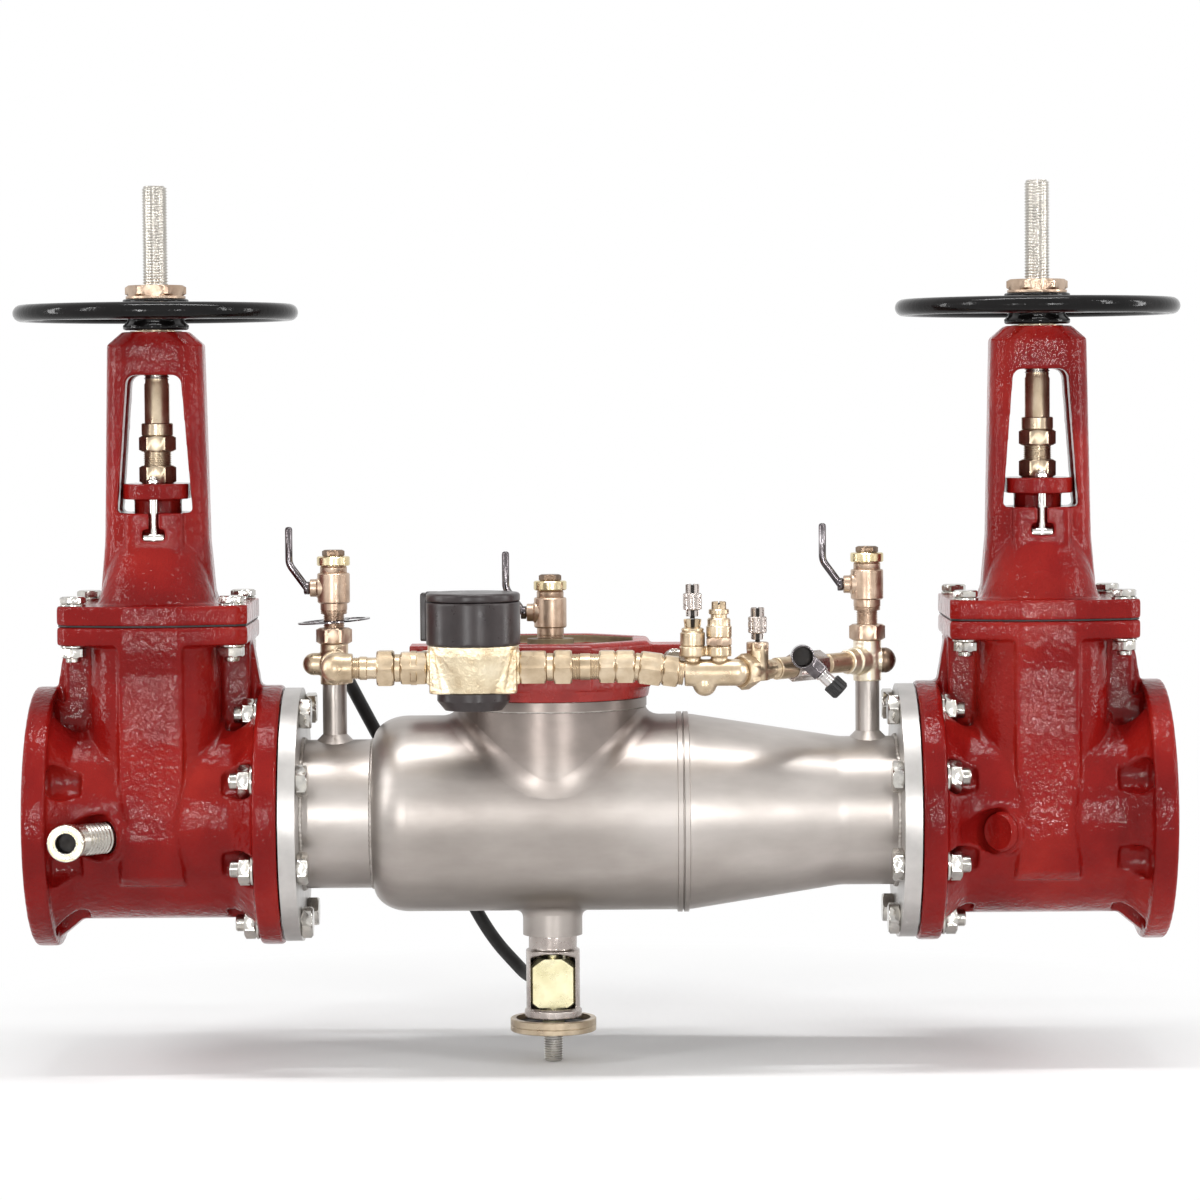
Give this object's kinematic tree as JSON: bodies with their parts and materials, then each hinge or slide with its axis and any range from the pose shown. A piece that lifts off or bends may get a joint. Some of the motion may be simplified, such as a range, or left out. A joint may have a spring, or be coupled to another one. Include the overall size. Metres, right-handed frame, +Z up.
{
  "type": "reduced pressure detector assembly",
  "caption": "Backflow preventer between two rising-stem gate valves, with a metered bypass, test cocks, a relief valve below and a clamped top cover.",
  "frame": {"origin": "centre of the inlet flange face", "axes": "+X along the flow to the outlet flange, +Z up along the valve stems, -Y to the bypass side"},
  "size_m": [1.2502, 0.3514, 0.9455],
  "materials": {
    "red_casting": "glossy deep red coating over rough cast iron",
    "red_coupling": "satin red paint over ductile iron",
    "stainless": "brushed and pickled stainless sheet with dull welds",
    "black_wheel": "glossy black enamel",
    "bronze": "cast bronze, slightly tarnished",
    "brass": "machined brass",
    "plug_brown": "dull olive-brown casting",
    "stem_steel": "machined and threaded stem",
    "zinc": "zinc plated",
    "chrome_fitting": "bright plated",
    "wedge_iron": "coated iron",
    "gasket_black": "sheet gasket",
    "diaphragm_black": "moulded rubber",
    "hose_black": "covered hose",
    "black_plastic": "moulded plastic",
    "meter_brass": "cast bronze, brown tarnish",
    "lever_steel": "bent stainless rod",
    "hand_red": "painted pointer",
    "spring_steel": "spring wire"
  },
  "bodies": {
    "frame": {"inlet_valve_body": "red_casting", "inlet_bonnet": "red_casting", "outlet_valve_body": "red_casting", "outlet_bonnet": "red_casting", "gland_flanges": "bronze", "packing_nuts": "brass", "yoke_caps": "bronze", "gland_bolts": "zinc", "bonnet_bolts": "zinc", "flange_bolts": "zinc", "gaskets": "gasket_black", "body_inlet_pipe": "stainless", "body_shell": "stainless", "body_reducer": "stainless", "cover_plate": "plug_brown", "cover_coupling": "red_coupling", "coupling_bolts": "zinc", "check_seats": "stainless", "check_springs": "spring_steel", "relief_body": "bronze", "relief_spring": "spring_steel", "relief_diaphragm": "diaphragm_black", "relief_cup": "bronze", "sensing_hose": "hose_black", "hose_fittings": "brass", "test_cock_1": "brass", "test_cock_2": "brass", "test_cock_3": "brass", "tag_ring": "chrome_fitting", "bypass_cross": "brass", "bypass_tee": "brass", "bypass_line": "brass", "meter_body": "meter_brass", "meter_bottom_plate": "black_plastic", "meter_register": "black_plastic", "device_body": "brass", "device_bonnets": "brass", "petcock_body": "chrome_fitting", "tap_fitting": "stem_steel"},
    "inlet_wheel": {"inlet_handwheel": "black_wheel", "inlet_yoke_nut": "bronze", "inlet_wheel_nut": "brass"},
    "outlet_wheel": {"outlet_handwheel": "black_wheel", "outlet_yoke_nut": "bronze", "outlet_wheel_nut": "brass"},
    "inlet_gate": {"inlet_stem": "stem_steel", "inlet_wedge": "wedge_iron"},
    "outlet_gate": {"outlet_stem": "stem_steel", "outlet_wedge": "wedge_iron"},
    "check_1": {"check_1_clapper": "stainless"},
    "check_2": {"check_2_clapper": "stainless"},
    "poppet": {"relief_poppet": "bronze"},
    "lever_1": {"cock_lever_1": "lever_steel"},
    "lever_2": {"cock_lever_2": "lever_steel"},
    "lever_3": {"cock_lever_3": "lever_steel"},
    "lid": {"meter_lid": "black_plastic"},
    "hand": {"meter_hand": "hand_red"},
    "knob_1": {"device_knob_1": "chrome_fitting"},
    "knob_2": {"device_knob_2": "chrome_fitting"},
    "petcock_turn": {"petcock_knob": "black_plastic"}
  },
  "joints": [
    {"name": "inlet_wheel_turn", "type": "hinge", "parent": "frame", "child": "inlet_wheel", "pos_m": [0.13335, 0, 0.5405], "axis": [0, 0, 1], "range_deg": [-5668.9, 3401.3]},
    {"name": "inlet_stem_rise", "type": "slide", "parent": "frame", "child": "inlet_gate", "axis": [0, 0, 1], "range_m": [-0.1, 0.06]},
    {"name": "outlet_wheel_turn", "type": "hinge", "parent": "frame", "child": "outlet_wheel", "pos_m": [1.07865, 0, 0.5405], "axis": [0, 0, 1], "range_deg": [-5668.9, 3401.3]},
    {"name": "outlet_stem_rise", "type": "slide", "parent": "frame", "child": "outlet_gate", "axis": [0, 0, 1], "range_m": [-0.1, 0.06]},
    {"name": "check_1_swing", "type": "hinge", "parent": "frame", "child": "check_1", "pos_m": [0.476, 0, 0.082], "axis": [0, -1, 0], "range_deg": [0, 65], "stiffness_Nm_per_rad": 0.5, "springref_deg": -57.3},
    {"name": "check_2_swing", "type": "hinge", "parent": "frame", "child": "check_2", "pos_m": [0.668, 0, 0.082], "axis": [0, -1, 0], "range_deg": [0, 65], "stiffness_Nm_per_rad": 0.5, "springref_deg": -57.3},
    {"name": "relief_poppet_lift", "type": "slide", "parent": "frame", "child": "poppet", "axis": [0, 0, 1], "range_m": [0, 0.006], "stiffness_N_per_m": 2000, "springref_m": -0.01, "deforming": ["relief_spring"]},
    {"name": "cock_1_lever_turn", "type": "hinge", "parent": "frame", "child": "lever_1", "pos_m": [0.301, 0, 0.244], "axis": [1, 0, 0], "range_deg": [0, 90]},
    {"name": "cock_2_lever_turn", "type": "hinge", "parent": "frame", "child": "lever_2", "pos_m": [0.534, 0, 0.216], "axis": [1, 0, 0], "range_deg": [0, 90]},
    {"name": "cock_3_lever_turn", "type": "hinge", "parent": "frame", "child": "lever_3", "pos_m": [0.875, 0, 0.244], "axis": [1, 0, 0], "range_deg": [0, 90]},
    {"name": "meter_lid_swing", "type": "hinge", "parent": "frame", "child": "lid", "pos_m": [0.4259, -0.126, 0.24], "axis": [0, -1, 0], "range_deg": [0, 110]},
    {"name": "meter_hand_turn", "type": "hinge", "parent": "frame", "child": "hand", "pos_m": [0.4755, -0.15, 0.229], "axis": [0, 0, 1], "continuous": true},
    {"name": "device_knob_1_turn", "type": "hinge", "parent": "frame", "child": "knob_1", "pos_m": [0.7036, -0.15, 0.23], "axis": [0, 0, 1], "range_deg": [0, 90]},
    {"name": "device_knob_2_turn", "type": "hinge", "parent": "frame", "child": "knob_2", "pos_m": [0.77202, -0.12635, 0.205], "axis": [0, 0, 1], "range_deg": [0, 90]},
    {"name": "petcock_knob_turn", "type": "hinge", "parent": "frame", "child": "petcock_turn", "pos_m": [0.83297, -0.1377, 0.16191], "axis": [0.7337, 0, -0.6795], "range_deg": [0, 90]}
  ],
  "couplings": [
    {"joint": "inlet_stem_rise", "follows": "inlet_wheel_turn", "m_per_rad": 0.0010106},
    {"joint": "outlet_stem_rise", "follows": "outlet_wheel_turn", "m_per_rad": 0.0010106}
  ]
}
